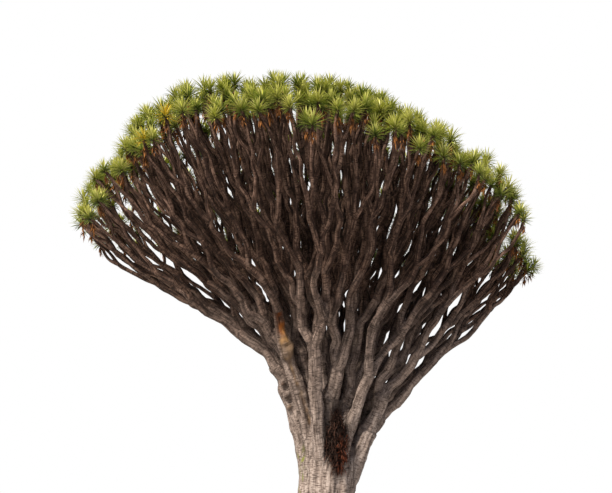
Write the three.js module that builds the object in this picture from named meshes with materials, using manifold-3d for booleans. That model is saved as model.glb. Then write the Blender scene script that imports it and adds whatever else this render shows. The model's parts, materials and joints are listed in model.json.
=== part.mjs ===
// Dragon tree: a fluted trunk that breaks into a fan of boughs, and a domed crown of forking
// branches that end in rosettes of sword leaves. Millimetres and degrees, +Z up, with the origin
// on the trunk's axis at ground level. X runs to the right and Y away from the viewer.
import * as THREE from "three";
import { mergeVertices } from "three/addons/utils/BufferGeometryUtils.js";
import Module from "manifold-3d";

const wasm = await Module();
wasm.setup();

// Trunk
const TRUNK_RADIUS = 545;
const TRUNK_TOP = 2480;
const TRUNK_LEAN = 60; // the fork stands this far to the right of the foot
const ROOT_FLARE = 0.3; // share of the radius gained at the ground
const ROOT_FLARE_HEIGHT = 380;
const FORK_FLARE = 130; // gain in radius where the boughs leave
const FORK_FLARE_START = 1950;
const FLUTE_DEPTH = 0.045;
const CLEFT_AZIMUTH = 288; // a dark cleft faces front right, between two boughs
const CLEFT_WIDTH = 60;
const CLEFT_DEPTH = 0.2;
const CLEFT_HALF_ANGLE = 21; // the cleft fades out over this angle on each side

// Boughs: an outer ring that leaves the cleft open, and an inner ring. Each forks on to its last twigs.
const OUTER_BOUGHS = 9;
const OUTER_STEP = (360 - CLEFT_WIDTH) / (OUTER_BOUGHS - 1);
const OUTER_TILT = 38;
const INNER_BOUGHS = 5;
const INNER_TILT = 17;
const INNER_FIRST_AZIMUTH = 275;
const BOUGH_START_Z = 1500; // boughs rise from this height inside the trunk
const BOUGH_START_SPREAD = 300;
const BOUGH_SWELL = 0.15; // extra radius at the foot of a bough

// Dry litter in the cleft
const LITTER_WIDTH = 470;
const LITTER_DEPTH = 340;
const LITTER_HEIGHT = 1240;
const LITTER_Z = 2585;
const LITTER_SEAT = 500; // from the trunk's axis to the middle of the litter

// Crown: a dome of branch tips round a centre in the fork
const CROWN_CENTRE = new THREE.Vector3(TRUNK_LEAN, 0, 2600);
const CROWN_REACH = 7400;
const RIGHT_SHORTFALL = 0.25; // the right side of the rim reaches this share less far
const RIGHT_SHORTFALL_POWER = 0.5;
const RIM_TILT = 45; // tilt of the rim from the vertical
const RIM_FRONT = 0.8; // share of that tilt at the front
const RIM_BACK = 0.95; // and at the back
const RIM_SIDE = 1.11; // the rim hangs lower at the sides
const RIM_SIDE_POWER = 3.5;
const LEFT_DROOP = 0.12; // share of the reach lost where the left rim hangs lowest
const LEFT_DROOP_POWER = 5;
const RIM_NOTCH = 0.18; // the rim is drawn in at the front right
const RIM_NOTCH_AZIMUTH = 318;
const RIM_NOTCH_WIDTH = 30;
// Places, in degrees, where the dome is pressed in, or raised where the depth is below zero
const CROWN_DENTS = [
  { x: -35, y: -15, width: 9, depth: 0.06 },
  { x: -46, y: -3, width: 6, depth: -0.03 },
  { x: 32, y: -10, width: 10, depth: -0.06 },
  { x: -27, y: -9, width: 8, depth: -0.055 },
  { x: 42, y: 0, width: 6, depth: 0.06 },
];
const TIP_CANDIDATES = 760; // those beyond the rim are left out
const TIP_SCATTER = 1.7; // degrees
const REACH_SCATTER = 0.028;
// Tips that stand clear of the right rim
const LONE_TIPS = [
  { azimuth: 0, tilt: 37.2, stretch: 1.03 },
  { azimuth: 3, tilt: 49.9, stretch: 1.03 },
  { azimuth: 12, tilt: 48, stretch: 1 },
  { azimuth: 4, tilt: 44.5, stretch: 1 },
];
const TIP_RADIUS = 58;
const FORK_GIRTH_POWER = 0.27; // a branch's radius grows with this power of the tips it carries
const LEFT_START = { tilt: 0.15, pull: 1.65 }; // limbs on the left rise steeply before they lean out
const RIGHT_START = { tilt: 0.44, pull: 1.1 }; // limbs on the right lean out from the start
const ARRIVAL = { tilt: 0.72, pull: 1.1 };
const FIRST_FORK = 0.21; // no branch forks before this share of its stream
const FORK_STEP = 0.155; // share of its stream between one fork and the next
const FORK_SCATTER = 0.05;
const BOUGH_BOW = 0.035; // sideways bow of a bough, as a share of its length
const BRANCH_BOW = 0.085; // and of a branch
const PARTING = 1.8; // how fast the two branches of a fork part at first
const LEAST_RUN = 0.06; // shortest branch, as a share of its stream
const CUT_SCATTER = 0.1; // how far a fork's shares stray from one half
const FIRST_BOUGH_ID = 16; // a branch's two children have twice its number, and one more

// Solids
const TIPS_ON_TWIG = 6; // a solid twig stands for up to this many real branch ends
const TIPS_IN_SPRAY = 12; // a solid rosette stands for a spray of up to this many real ones
const ROSETTE_RADIUS = 520; // of the flat core that the leaves stand on
const ROSETTE_HALF_HEIGHT = 230;
const BRIDGE_RADIUS = 120; // bars of leaves that join the rosettes of a mass
const BRIDGE_SIDES = 3;
const LEAF_REACH = 300; // how far leaves stand above the branch tips
const LEAF_LIMIT = 660; // furthest leaf tip from its rosette's middle
const LEAF_LEAST = 1.2; // a leaf that reaches less than this many times as far as its face is left out
const LOWEST_LEAF = -0.5; // leaves that point further down are left out
const TRUNK_SIDES = 32;
const TRUNK_STEPS = 8;
const TWIG_SIDES = { least: 3, most: 7, tipsForOneMore: 8 };
const TWIG_STEPS = 2; // along each branch of a twig
const SIDE_ROOT = 0.7; // radius of a side twig's root, as a share of its parent's
const GAP = 0.6; // the flats of a three-sided twig keep half of it
const SPACE_MARGIN = 15; // each mass of foliage stays this far from the walls of its space

const SAME_POINT = 0.01;
const SLIVER = 0.1;
const CLEAN_PASSES = 3;
const TANGENT_STEP = 0.01;
const RADIANS = Math.PI / 180;
const GOLDEN_ANGLE = 180 * (3 - Math.sqrt(5));

// Seeded chance from 0 to 1, the same for the same index and salt
function chance(index, salt) {
  const wave = Math.sin(index * 12.9898 + salt * 78.233) * 43758.5453;
  return wave - Math.floor(wave);
}

function scatter(index, salt, size) {
  return (2 * chance(index, salt) - 1) * size;
}

function smoothstep(low, high, value) {
  return THREE.MathUtils.smoothstep(value, low, high);
}

// Difference of two bearings, from -180 to 180
function bearingGap(a, b) {
  return THREE.MathUtils.euclideanModulo(a - b + 180, 360) - 180;
}

// Unit vector at a bearing round the trunk and a tilt from the vertical
function direction(azimuth, tilt) {
  const a = azimuth * RADIANS;
  const t = tilt * RADIANS;
  return new THREE.Vector3(Math.sin(t) * Math.cos(a), Math.sin(t) * Math.sin(a), Math.cos(t));
}

// The trunk's axis, upright at the ground
function axisAt(z) {
  const rise = z / CROWN_CENTRE.z;
  return new THREE.Vector3(TRUNK_LEAN * rise * rise, 0, z);
}

// Crown shape: how far the tips tilt at each bearing, and how far they reach at each place
function rimTilt(azimuth) {
  const aside = bearingGap(azimuth, RIM_NOTCH_AZIMUTH) / RIM_NOTCH_WIDTH;
  const side = Math.pow(Math.abs(Math.cos(azimuth * RADIANS)), RIM_SIDE_POWER);
  const middle = Math.sin(azimuth * RADIANS) < 0 ? RIM_FRONT : RIM_BACK;
  const share = THREE.MathUtils.lerp(middle, RIM_SIDE, side);
  return RIM_TILT * (share - RIM_NOTCH * Math.exp(-aside * aside));
}

// From 0 at the left rim to 1 at the right rim
function rightness(place) {
  return smoothstep(-RIM_TILT, RIM_TILT, place.x);
}

function crownReach(place) {
  const tilt = place.length() / RIM_TILT;
  const right = rightness(place);
  const droop = LEFT_DROOP * Math.pow(tilt / RIM_SIDE, LEFT_DROOP_POWER);
  const shortfall = RIGHT_SHORTFALL * Math.pow(tilt, RIGHT_SHORTFALL_POWER);
  const smooth = CROWN_REACH * (1 - shortfall * right - droop * (1 - right));
  return CROWN_DENTS.reduce((reach, { x, y, width, depth }) => {
    const away = Math.hypot(place.x - x, place.y - y) / width;
    return reach * (1 - depth * Math.exp(-away * away));
  }, smooth);
}

// A tip's place on the dome is its tilt drawn out flat along its bearing, so x and y are in degrees
function domePlace(azimuth, tilt) {
  return new THREE.Vector2(tilt * Math.cos(azimuth * RADIANS), tilt * Math.sin(azimuth * RADIANS));
}

function makeTips() {
  const tips = [];
  const steepest = RIM_TILT * RIM_SIDE;
  for (let i = 0; i < TIP_CANDIDATES; i++) {
    const azimuth = i * GOLDEN_ANGLE;
    const share = (i + 0.5) / TIP_CANDIDATES;
    const tilt = Math.acos(1 - share * (1 - Math.cos(steepest * RADIANS))) / RADIANS;
    if (tilt > rimTilt(azimuth)) continue;
    const place = domePlace(azimuth, tilt);
    place.x += scatter(i, 1, TIP_SCATTER);
    place.y += scatter(i, 2, TIP_SCATTER);
    tips.push({ place, stretch: 1 + scatter(i, 3, REACH_SCATTER) });
  }
  LONE_TIPS.forEach(({ azimuth, tilt, stretch }) => {
    tips.push({ place: domePlace(azimuth, tilt), stretch });
  });
  return tips;
}

// The point of the dome at a place
function domePoint(place, stretch) {
  const azimuth = Math.atan2(place.y, place.x) / RADIANS;
  const outward = direction(azimuth, place.length());
  return outward.multiplyScalar(stretch * crownReach(place)).add(CROWN_CENTRE);
}

// Every branch follows a stream from inside the trunk to the dome: it starts steep, leans out and
// turns up again at its tip
function streamPoint(place, stretch, run) {
  const tilt = place.length();
  const azimuth = Math.atan2(place.y, place.x) / RADIANS;
  const start = axisAt(BOUGH_START_Z);
  start.x += (BOUGH_START_SPREAD * place.x) / RIM_TILT;
  start.y += (BOUGH_START_SPREAD * place.y) / RIM_TILT;
  const end = domePoint(place, stretch);
  const length = start.distanceTo(end);
  const side = rightness(place);
  const startTilt = THREE.MathUtils.lerp(LEFT_START.tilt, RIGHT_START.tilt, side) * tilt;
  const startPull = THREE.MathUtils.lerp(LEFT_START.pull, RIGHT_START.pull, side) * length;
  const r2 = run * run;
  const r3 = r2 * run;
  return new THREE.Vector3()
    .addScaledVector(start, 2 * r3 - 3 * r2 + 1)
    .addScaledVector(direction(azimuth, startTilt), (r3 - 2 * r2 + run) * startPull)
    .addScaledVector(end, 3 * r2 - 2 * r3)
    .addScaledVector(direction(azimuth, ARRIVAL.tilt * tilt), (r3 - r2) * ARRIVAL.pull * length);
}

function branchRadius(tipCount) {
  return TIP_RADIUS * Math.pow(tipCount, FORK_GIRTH_POWER);
}

// How far along its stream a branch runs before it forks
function forkRun(tipCount, id) {
  if (tipCount === 1) return 1;
  const run = 1 - FORK_STEP * Math.log2(tipCount) + scatter(id, 4, FORK_SCATTER);
  return Math.max(FIRST_FORK, run);
}

function meanPlace(tips) {
  const place = new THREE.Vector2();
  tips.forEach((tip) => place.addScaledVector(tip.place, 1 / tips.length));
  return place;
}

function meanStretch(tips) {
  return tips.reduce((sum, tip) => sum + tip.stretch / tips.length, 0);
}

// A branch carries a set of tips. It runs from its parent's fork to its own.
function makeBranch(tips, id, parent) {
  const branch = { id, tips, parent, place: meanPlace(tips), stretch: meanStretch(tips) };
  branch.from = parent ? parent.run : 0;
  branch.run = Math.max(branch.from + LEAST_RUN, forkRun(tips.length, id));
  branch.radius = branchRadius(tips.length);
  return branch;
}

// Splits a branch's tips across the long way of their patch, near the middle
function splitTips(branch) {
  const { tips, place } = branch;
  let xx = 0;
  let xy = 0;
  let yy = 0;
  tips.forEach((tip) => {
    const dx = tip.place.x - place.x;
    const dy = tip.place.y - place.y;
    xx += dx * dx;
    xy += dx * dy;
    yy += dy * dy;
  });
  const angle = 0.5 * Math.atan2(2 * xy, xx - yy);
  const along = (tip) => tip.place.x * Math.cos(angle) + tip.place.y * Math.sin(angle);
  const sorted = [...tips].sort((a, b) => along(a) - along(b));
  const middle = Math.round(sorted.length * (0.5 + scatter(branch.id, 5, CUT_SCATTER)));
  const cut = Math.min(Math.max(middle, 1), sorted.length - 1);
  return [sorted.slice(0, cut), sorted.slice(cut)];
}

// A twig runs on through one branch of every fork, and the other branch starts a twig of its own. Each
// twig is the list of branches along it. A branch with no more than the least tips runs to the dome.
function growTwigs(branch, leastTips, twig = [], twigs = [twig]) {
  twig.push(branch);
  if (branch.tips.length <= leastTips) {
    branch.run = 1;
    return twigs;
  }
  const children = splitTips(branch).map((tips, side) => makeBranch(tips, 2 * branch.id + side, branch));
  growTwigs(children[0], leastTips, twig, twigs);
  const aside = [];
  twigs.push(aside);
  growTwigs(children[1], leastTips, aside, twigs);
  return twigs;
}

// The centre line of a branch, from 0 at its parent's fork to 1 at its own
function branchPath(branch) {
  const { id, parent, from, run, place, stretch } = branch;
  const startPlace = parent ? parent.place : place;
  const startStretch = parent ? parent.stretch : stretch;
  const turn = 360 * chance(id, 6);
  const mostBow = parent ? BRANCH_BOW : BOUGH_BOW;
  return (share) => {
    const parted = 1 - Math.pow(Math.max(1 - share, 0), PARTING);
    const here = startPlace.clone().lerp(place, parted);
    const reach = startStretch + (stretch - startStretch) * share;
    const bow = mostBow * (run - from) * CROWN_REACH * Math.sin(Math.PI * share);
    const point = streamPoint(here, reach, from + (run - from) * share);
    point.x += bow * Math.cos(turn * RADIANS);
    point.y += bow * Math.sin(turn * RADIANS);
    return point;
  };
}

// A cylinder bent along a path, with its own radius at each point
function bendAlong(path, radiusAt, sides, steps) {
  const geometry = new THREE.CylinderGeometry(1, 1, 1, sides, steps);
  const position = geometry.attributes.position;
  const level = new THREE.Vector3(1, 0, 0);
  for (let i = 0; i < position.count; i++) {
    const share = position.getY(i) + 0.5;
    const tangent = path(share + TANGENT_STEP).sub(path(share - TANGENT_STEP)).normalize();
    const across = new THREE.Vector3().crossVectors(tangent, level).normalize();
    const side = new THREE.Vector3().crossVectors(across, tangent);
    const turn = Math.atan2(position.getZ(i), position.getX(i));
    const size = Math.hypot(position.getX(i), position.getZ(i)) * radiusAt(share, turn);
    const point = path(share);
    point.addScaledVector(side, size * Math.cos(turn));
    point.addScaledVector(across, -size * Math.sin(turn));
    position.setXYZ(i, point.x, point.y, point.z);
  }
  return geometry;
}

// Closed geometry to solid and back
function toSolid(geometry) {
  const bare = new THREE.BufferGeometry();
  bare.setAttribute("position", geometry.attributes.position);
  bare.setIndex(geometry.index);
  const merged = mergeVertices(bare, SAME_POINT);
  return new wasm.Manifold(
    new wasm.Mesh({
      numProp: 3,
      vertProperties: new Float32Array(merged.attributes.position.array),
      triVerts: new Uint32Array(merged.index.array),
    }),
  );
}

function toGeometry(solid) {
  const mesh = solid.getMesh();
  const geometry = new THREE.BufferGeometry();
  geometry.setAttribute("position", new THREE.BufferAttribute(mesh.vertProperties, 3));
  geometry.setIndex(new THREE.BufferAttribute(mesh.triVerts, 1));
  geometry.computeVertexNormals();
  return geometry;
}

function largestPiece(solid) {
  return solid.decompose().reduce((best, piece) => (piece.volume() > best.volume() ? piece : best));
}

// The largest piece, without slivers and sealed pockets. Rounding to 32 bits can pinch off more of
// them, so this is done a few times over.
function cleanPiece(solid) {
  let piece = largestPiece(solid);
  for (let pass = 0; pass < CLEAN_PASSES; pass++) {
    piece = largestPiece(toSolid(toGeometry(piece.simplify(SLIVER))));
  }
  return piece;
}

// Trunk: a flared foot, flutes that run up into the boughs, and the cleft
function outerAzimuth(k) {
  return CLEFT_AZIMUTH + CLEFT_WIDTH / 2 + k * OUTER_STEP;
}

function trunkRadius(z, azimuth) {
  const foot = 1 + ROOT_FLARE * Math.exp(-z / ROOT_FLARE_HEIGHT);
  const rise = smoothstep(FORK_FLARE_START, TRUNK_TOP, z);
  const flute = FLUTE_DEPTH * Math.cos((2 * Math.PI * (azimuth - outerAzimuth(0))) / OUTER_STEP);
  const aside = bearingGap(azimuth, CLEFT_AZIMUTH) / CLEFT_HALF_ANGLE;
  const cleft = CLEFT_DEPTH * Math.exp(-aside * aside) * rise;
  return (TRUNK_RADIUS * foot + FORK_FLARE * rise) * (1 + flute) * (1 - cleft);
}

function trunkSolid(grow) {
  const height = TRUNK_TOP + grow;
  const path = (share) => axisAt(share * height);
  const radiusAt = (share, turn) => trunkRadius(share * height, -turn / RADIANS) + grow;
  return toSolid(bendAlong(path, radiusAt, TRUNK_SIDES, TRUNK_STEPS));
}

// Boughs: each rises from inside the trunk's top and carries the tips nearest its direction
const outerDirections = Array.from({ length: OUTER_BOUGHS }, (_, k) =>
  direction(outerAzimuth(k), OUTER_TILT),
);
const innerDirections = Array.from({ length: INNER_BOUGHS }, (_, k) =>
  direction(INNER_FIRST_AZIMUTH + (360 * k) / INNER_BOUGHS, INNER_TILT),
);
const boughDirections = [...outerDirections, ...innerDirections];

function nearestBough(place) {
  const azimuth = Math.atan2(place.y, place.x) / RADIANS;
  const toTip = direction(azimuth, place.length());
  const closeness = boughDirections.map((d) => d.dot(toTip));
  return closeness.indexOf(Math.max(...closeness));
}

function makeBoughs() {
  const shares = boughDirections.map(() => []);
  makeTips().forEach((tip) => shares[nearestBough(tip.place)].push(tip));
  return shares.map((tips, k) => {
    const bough = makeBranch(tips, FIRST_BOUGH_ID + k, null);
    const sprays = growTwigs(bough, TIPS_IN_SPRAY).map((twig) => twig.at(-1));
    return { twigs: growTwigs(bough, TIPS_ON_TWIG), rosettes: sprays.map(makeRosette) };
  });
}

// A twig tapers from fork to fork, and the more tips it carries, the rounder it is. A side twig has
// its root sunk in the twig that it leaves.
function twigGeometry(twig, grow) {
  const { parent, radius, tips } = twig[0];
  const rootRadius = parent ? SIDE_ROOT * parent.radius : (1 + BOUGH_SWELL) * radius;
  const radii = [rootRadius, ...twig.map((branch) => branch.radius)];
  const paths = twig.map(branchPath);
  const [more, less] = [paths.at(-1), paths[0]].map((end) => grow / end(0).distanceTo(end(1)));
  const locate = (share) => {
    const run = THREE.MathUtils.lerp(-less, twig.length + more, share);
    const index = THREE.MathUtils.clamp(Math.floor(run), 0, twig.length - 1);
    return { index, part: run - index };
  };
  const path = (share) => {
    const { index, part } = locate(share);
    return paths[index](part);
  };
  const radiusAt = (share) => {
    const { index, part } = locate(share);
    return THREE.MathUtils.lerp(radii[index], radii[index + 1], part) + grow;
  };
  const { least, most, tipsForOneMore } = TWIG_SIDES;
  const sides = THREE.MathUtils.clamp(least + Math.floor(tips.length / tipsForOneMore) - 1, least, most);
  return bendAlong(path, radiusAt, sides, TWIG_STEPS * twig.length);
}

function joinAll(shapes) {
  return shapes.map(toSolid).reduce((whole, piece) => whole.add(piece));
}

function boughSolid(bough, grow) {
  return joinAll(bough.twigs.map((twig) => twigGeometry(twig, grow)));
}

// Foliage: each mass keeps to the space nearest its own bough's direction. Walls are planes through
// the crown's centre, with the mass on their positive side.
function massWalls(owner) {
  const others = boughDirections.filter((_, k) => k !== owner);
  return others.map((other) => {
    const normal = boughDirections[owner].clone().sub(other).normalize();
    return new THREE.Plane().setFromNormalAndCoplanarPoint(normal, CROWN_CENTRE);
  });
}

// Each leaf also keeps to its own rosette's side of the planes midway to the other rosettes
function rosetteWalls(rosette, rosettes) {
  const others = rosettes.filter((other) => other !== rosette);
  return others.map((other) => {
    const normal = rosette.centre.clone().sub(other.centre).normalize();
    const middle = rosette.centre.clone().lerp(other.centre, 0.5);
    return new THREE.Plane().setFromNormalAndCoplanarPoint(normal, middle);
  });
}

// How far a leaf can run from a rosette's middle before it meets a wall or leaves the dome
function roomAlong({ centre, dome }, heading, walls) {
  const exit = new THREE.Ray(centre, heading).intersectSphere(dome, new THREE.Vector3());
  const inDome = Math.min(LEAF_LIMIT, exit.distanceTo(centre));
  return walls.reduce((room, wall) => {
    const closing = -wall.normal.dot(heading);
    if (closing <= 0) return room;
    return Math.min(room, (wall.distanceToPoint(centre) - SPACE_MARGIN) / closing);
  }, inDome);
}

// A rosette: sword leaves that stand out of a flat core, one on each face
function rosetteGeometry(rosette, walls) {
  const { centre, axis, spin } = rosette;
  const core = new THREE.IcosahedronGeometry(1, 0);
  core.scale(ROSETTE_RADIUS, ROSETTE_RADIUS, ROSETTE_HALF_HEIGHT);
  const position = core.attributes.position;
  const up = new THREE.Vector3(0, 0, 1);
  const turn = new THREE.Quaternion()
    .setFromUnitVectors(up, axis)
    .multiply(new THREE.Quaternion().setFromAxisAngle(up, spin));
  const points = [];
  for (let i = 0; i < position.count; i += 3) {
    const corners = [0, 1, 2].map((k) => new THREE.Vector3().fromBufferAttribute(position, i + k));
    const outward = new THREE.Vector3();
    corners.forEach((corner) => outward.addScaledVector(corner, 1 / 3));
    const depth = outward.length();
    outward.normalize();
    const root = corners.map((corner) => corner.applyQuaternion(turn).add(centre));
    const heading = outward.clone().applyQuaternion(turn);
    const room = roomAlong(rosette, heading, walls);
    if (outward.z < LOWEST_LEAF || room < LEAF_LEAST * depth) {
      points.push(...root);
    } else {
      const tip = centre.clone().addScaledVector(heading, room);
      root.forEach((corner, k) => points.push(corner, root[(k + 1) % 3], tip));
    }
  }
  return new THREE.BufferGeometry().setFromPoints(points);
}

// The rosette on a last branch lies along the dome
function makeRosette(branch) {
  const centre = branchPath(branch)(1);
  const axis = centre.clone().sub(CROWN_CENTRE).normalize();
  const dome = new THREE.Sphere(CROWN_CENTRE, centre.distanceTo(CROWN_CENTRE) + LEAF_REACH);
  return { centre, axis, dome, spin: 360 * chance(branch.id, 7) * RADIANS };
}

// A bar of leaves that joins a rosette to the nearest of those before it
function bridgeGeometry({ centre }, earlier) {
  const gaps = earlier.map((other) => other.centre.distanceTo(centre));
  const nearest = earlier[gaps.indexOf(Math.min(...gaps))].centre;
  const path = (share) => nearest.clone().lerp(centre, share);
  return bendAlong(path, () => BRIDGE_RADIUS, BRIDGE_SIDES, 1);
}

function foliageSolid({ rosettes }, owner) {
  const walls = massWalls(owner);
  const shapes = rosettes.map((rosette) => {
    return rosetteGeometry(rosette, [...walls, ...rosetteWalls(rosette, rosettes)]);
  });
  rosettes.slice(1).forEach((rosette, k) => {
    shapes.push(bridgeGeometry(rosette, rosettes.slice(0, k + 1)));
  });
  return walls.reduce((mass, { normal, constant }) => {
    return mass.trimByPlane(normal.toArray(), SPACE_MARGIN - constant);
  }, joinAll(shapes));
}

// Dry leaf litter caught in the cleft
function litterSolid(grow) {
  const lump = new THREE.IcosahedronGeometry(1, 1);
  lump.scale(LITTER_WIDTH / 2 + grow, LITTER_DEPTH / 2 + grow, LITTER_HEIGHT / 2 + grow);
  const seat = direction(CLEFT_AZIMUTH, 90).multiplyScalar(LITTER_SEAT).add(axisAt(LITTER_Z));
  lump.translate(seat.x, seat.y, seat.z);
  return toSolid(lump);
}

const bark = new THREE.MeshStandardMaterial({ color: 0x9a8c7c, roughness: 0.9, metalness: 0 });
const limbBark = new THREE.MeshStandardMaterial({ color: 0x6e5d4f, roughness: 0.9, metalness: 0 });
const foliage = new THREE.MeshStandardMaterial({ color: 0x86953f, roughness: 0.6, metalness: 0 });
const dryLeaf = new THREE.MeshStandardMaterial({ color: 0x5a3422, roughness: 0.95, metalness: 0 });

const tree = new THREE.Group();

function addNode(name, solid, material) {
  const mesh = new THREE.Mesh(toGeometry(solid), material);
  mesh.name = name;
  tree.add(mesh);
}

function boughName(k) {
  return k < OUTER_BOUGHS ? `outer_bough_${k + 1}` : `inner_bough_${k - OUTER_BOUGHS + 1}`;
}

// Each solid is cut a hair clear of those before it
let taken;
function addClear(name, makeSolid, material) {
  const solid = taken ? makeSolid(0).subtract(taken) : makeSolid(0);
  addNode(name, cleanPiece(solid), material);
  const grown = makeSolid(GAP);
  taken = taken ? taken.add(grown) : grown;
}

addClear("trunk", trunkSolid, bark);
const boughs = makeBoughs();
boughs.forEach((bough, k) => {
  addClear(boughName(k), (grow) => boughSolid(bough, grow), limbBark);
});
boughs.forEach((bough, k) => {
  const name = boughName(k).replace("bough", "foliage");
  addClear(name, () => foliageSolid(bough, k), foliage);
});
addClear("cleft_litter", litterSolid, dryLeaf);

export default tree;
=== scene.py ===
# %% [markdown]
# # A dragon tree
# A dragon tree has a stout pale trunk that breaks into a fan of limbs. Every limb forks in two, again
# and again, and each of the hundreds of branch ends carries one rosette of stiff sword leaves, so the
# crown is a shallow green dome over a dense brown fan. The solids of the frame give the trunk, the
# boughs and the reach of each mass of foliage. This script grows the tree again by the same rule, with
# more tips and thinner branches, goes on to every single rosette, and gives each surface its finish.

# %% Load the frame
import json
import math
from dataclasses import dataclass, field

import bmesh
import bpy
import numpy as np
from mathutils import Matrix, Vector, noise

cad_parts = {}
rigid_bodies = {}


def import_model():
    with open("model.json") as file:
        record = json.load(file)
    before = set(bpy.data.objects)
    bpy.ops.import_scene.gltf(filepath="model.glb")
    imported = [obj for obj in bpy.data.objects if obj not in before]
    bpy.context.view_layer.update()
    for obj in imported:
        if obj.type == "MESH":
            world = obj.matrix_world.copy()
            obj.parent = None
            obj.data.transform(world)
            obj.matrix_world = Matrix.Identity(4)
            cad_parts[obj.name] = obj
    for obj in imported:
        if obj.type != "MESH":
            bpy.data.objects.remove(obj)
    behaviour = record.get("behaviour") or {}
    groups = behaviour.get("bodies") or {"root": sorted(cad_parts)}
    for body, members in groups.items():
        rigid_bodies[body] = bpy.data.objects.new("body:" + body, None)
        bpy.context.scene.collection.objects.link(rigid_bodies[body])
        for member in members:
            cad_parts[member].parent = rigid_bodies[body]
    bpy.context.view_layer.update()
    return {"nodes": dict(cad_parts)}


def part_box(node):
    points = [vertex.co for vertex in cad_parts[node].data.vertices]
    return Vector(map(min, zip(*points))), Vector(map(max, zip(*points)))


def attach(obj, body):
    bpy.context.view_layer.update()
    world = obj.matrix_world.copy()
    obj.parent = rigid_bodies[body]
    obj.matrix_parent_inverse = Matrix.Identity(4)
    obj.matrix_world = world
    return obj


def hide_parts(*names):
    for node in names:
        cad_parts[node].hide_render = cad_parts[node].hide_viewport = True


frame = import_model()

# %% [markdown]
# ## The camera
# The view is set as one from eye level, looking up, with the bottom edge of the picture just above the
# horizon. A camera is easiest to place by a few real numbers: how far away and how high it stands, how
# far it tilts up, and the lens. The trunk stands a little right of the middle, so the camera also
# turns a little to the left.

# %% Camera
IMAGE_WIDTH, IMAGE_HEIGHT = 612, 493
FOCAL_PIXELS = 1000
SENSOR_WIDTH = 36  # millimetres
EYE = Vector((0, -20, 1.6))
LOOK_UP = math.radians(14)
TRUNK_PIXEL_X = 325
TURN_LEFT = math.atan((TRUNK_PIXEL_X - IMAGE_WIDTH / 2) / FOCAL_PIXELS)

camera_data = bpy.data.cameras.new("camera")
camera_data.sensor_width = SENSOR_WIDTH
camera_data.lens = SENSOR_WIDTH * FOCAL_PIXELS / IMAGE_WIDTH
camera = bpy.data.objects.new("camera", camera_data)
camera.location = EYE
camera.rotation_euler = (math.radians(90) + LOOK_UP, 0, TURN_LEFT)
bpy.context.collection.objects.link(camera)
bpy.context.scene.camera = camera
bpy.context.view_layer.update()


def sight_line(x, y):
    """Direction from the camera through a pixel of the photograph."""
    across = (x - IMAGE_WIDTH / 2) / FOCAL_PIXELS
    up = (IMAGE_HEIGHT / 2 - y) / FOCAL_PIXELS
    return (camera.matrix_world.to_3x3() @ Vector((across, up, -1))).normalized()


print("lens", round(camera_data.lens, 1), "mm")

# %% [markdown]
# ## Colours and nodes
# Colours are written as the sRGB hex values that a picture shows, and Blender's shaders work with
# linear light, so one function turns one into the other. One more function adds a shader node: its
# options come as named settings, and its inputs are either set or linked.

# %% Colour and node helpers
def linear(hex_colour):
    """Linear RGBA of an sRGB colour such as #7a6a58, by the formula of the sRGB standard."""
    shares = [int(hex_colour[i : i + 2], 16) / 255 for i in (1, 3, 5)]
    return (*[s / 12.92 if s <= 0.04045 else ((s + 0.055) / 1.055) ** 2.4 for s in shares], 1)


def add(tree, kind, inputs=(), **settings):
    """Adds a node, sets its options, and sets or links its inputs by name or number."""
    made = tree.nodes.new(kind)
    for key, value in settings.items():
        setattr(made, key, value)
    for key, value in dict(inputs).items():
        if isinstance(value, bpy.types.NodeSocket):
            tree.links.new(value, made.inputs[key])
        else:
            made.inputs[key].default_value = value
    return made


def new_material(name):
    """An empty material, its node tree and its shader."""
    material = bpy.data.materials.new(name)
    material.use_nodes = True
    shader = material.node_tree.nodes["Principled BSDF"]
    return material, material.node_tree, shader


# %% [markdown]
# ## The growth rule
# A tree this regular is better grown than sculpted. Branch tips are spread over a dome like the seeds
# of a sunflower, and every tip is joined to the trunk by a stream: a curve that starts steep, leans
# out and turns up at its end. Branches that go the same way share one limb until they part, so a limb
# is as thick as the number of tips it carries asks for. Chance comes from a formula and not from a
# random generator, so the same branch has the same luck each time.

# %% Driving sizes of the trunk and crown, in metres and degrees
TRUNK_RADIUS = 0.545
TRUNK_TOP = 2.48
TRUNK_LEAN = 0.06
ROOT_FLARE, ROOT_FLARE_HEIGHT = 0.3, 0.38
FORK_FLARE, FORK_FLARE_START = 0.13, 1.95
FLUTE_DEPTH = 0.045
CLEFT_AZIMUTH, CLEFT_WIDTH = 288, 60
CLEFT_DEPTH, CLEFT_HALF_ANGLE = 0.2, 21
OUTER_BOUGHS, OUTER_TILT = 9, 38
OUTER_STEP = (360 - CLEFT_WIDTH) / (OUTER_BOUGHS - 1)
INNER_BOUGHS, INNER_TILT, INNER_FIRST_AZIMUTH = 5, 17, 275
BOUGH_START_Z, BOUGH_START_SPREAD, BOUGH_SWELL = 1.5, 0.3, 0.15
CROWN_CENTRE = np.array([TRUNK_LEAN, 0, 2.6])
CROWN_REACH = 7.4
RIGHT_SHORTFALL, RIGHT_SHORTFALL_POWER = 0.25, 0.5
RIM_TILT, RIM_FRONT, RIM_BACK, RIM_SIDE, RIM_SIDE_POWER = 45, 0.8, 0.95, 1.11, 3.5
LEFT_DROOP, LEFT_DROOP_POWER = 0.12, 5
RIM_NOTCH, RIM_NOTCH_AZIMUTH, RIM_NOTCH_WIDTH = 0.18, 318, 30
CROWN_DENTS = [  # x, y, width and depth
    (-35, -15, 9, 0.06),
    (-46, -3, 6, -0.03),
    (32, -10, 10, -0.06),
    (-27, -9, 8, -0.055),
    (42, 0, 6, 0.06),
]
TIP_CANDIDATES, TIP_SCATTER, REACH_SCATTER = 860, 1.7, 0.028
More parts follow.
